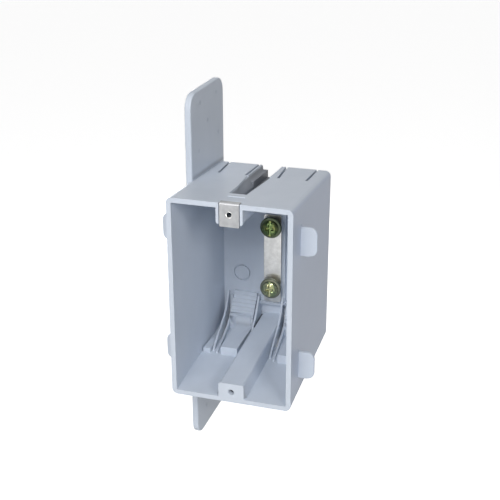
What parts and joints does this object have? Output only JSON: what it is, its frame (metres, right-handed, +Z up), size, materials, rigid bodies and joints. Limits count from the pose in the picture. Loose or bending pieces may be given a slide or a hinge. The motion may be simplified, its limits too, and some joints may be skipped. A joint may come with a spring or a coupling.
{
  "type": "plastic device box",
  "caption": "Deep single-gang moulded electrical device box, open at the front, with a tall side bracket, side ears, cable clamps, a device screw clip and a ground strap.",
  "frame": {"origin": "on the bracket's flat face that lies against the stud, midway along the bracket's width and level with the middle of the box", "axes": "-X out of the stud face, -Y out of the box's open front, +Z up towards the end with the metal device screw clip"},
  "size_m": [0.0688, 0.0724, 0.1694],
  "materials": {
    "grey_plastic": "semi-gloss moulded light blue-grey plastic",
    "plated_steel": "satin plated sheet steel",
    "green_plated_screw": "polished yellow-green plating"
  },
  "bodies": {
    "root": {"box_body": "grey_plastic", "device_screw_clip": "plated_steel", "ground_strap": "plated_steel", "ground_screw_upper": "green_plated_screw", "ground_screw_lower": "green_plated_screw"}
  },
  "joints": []
}
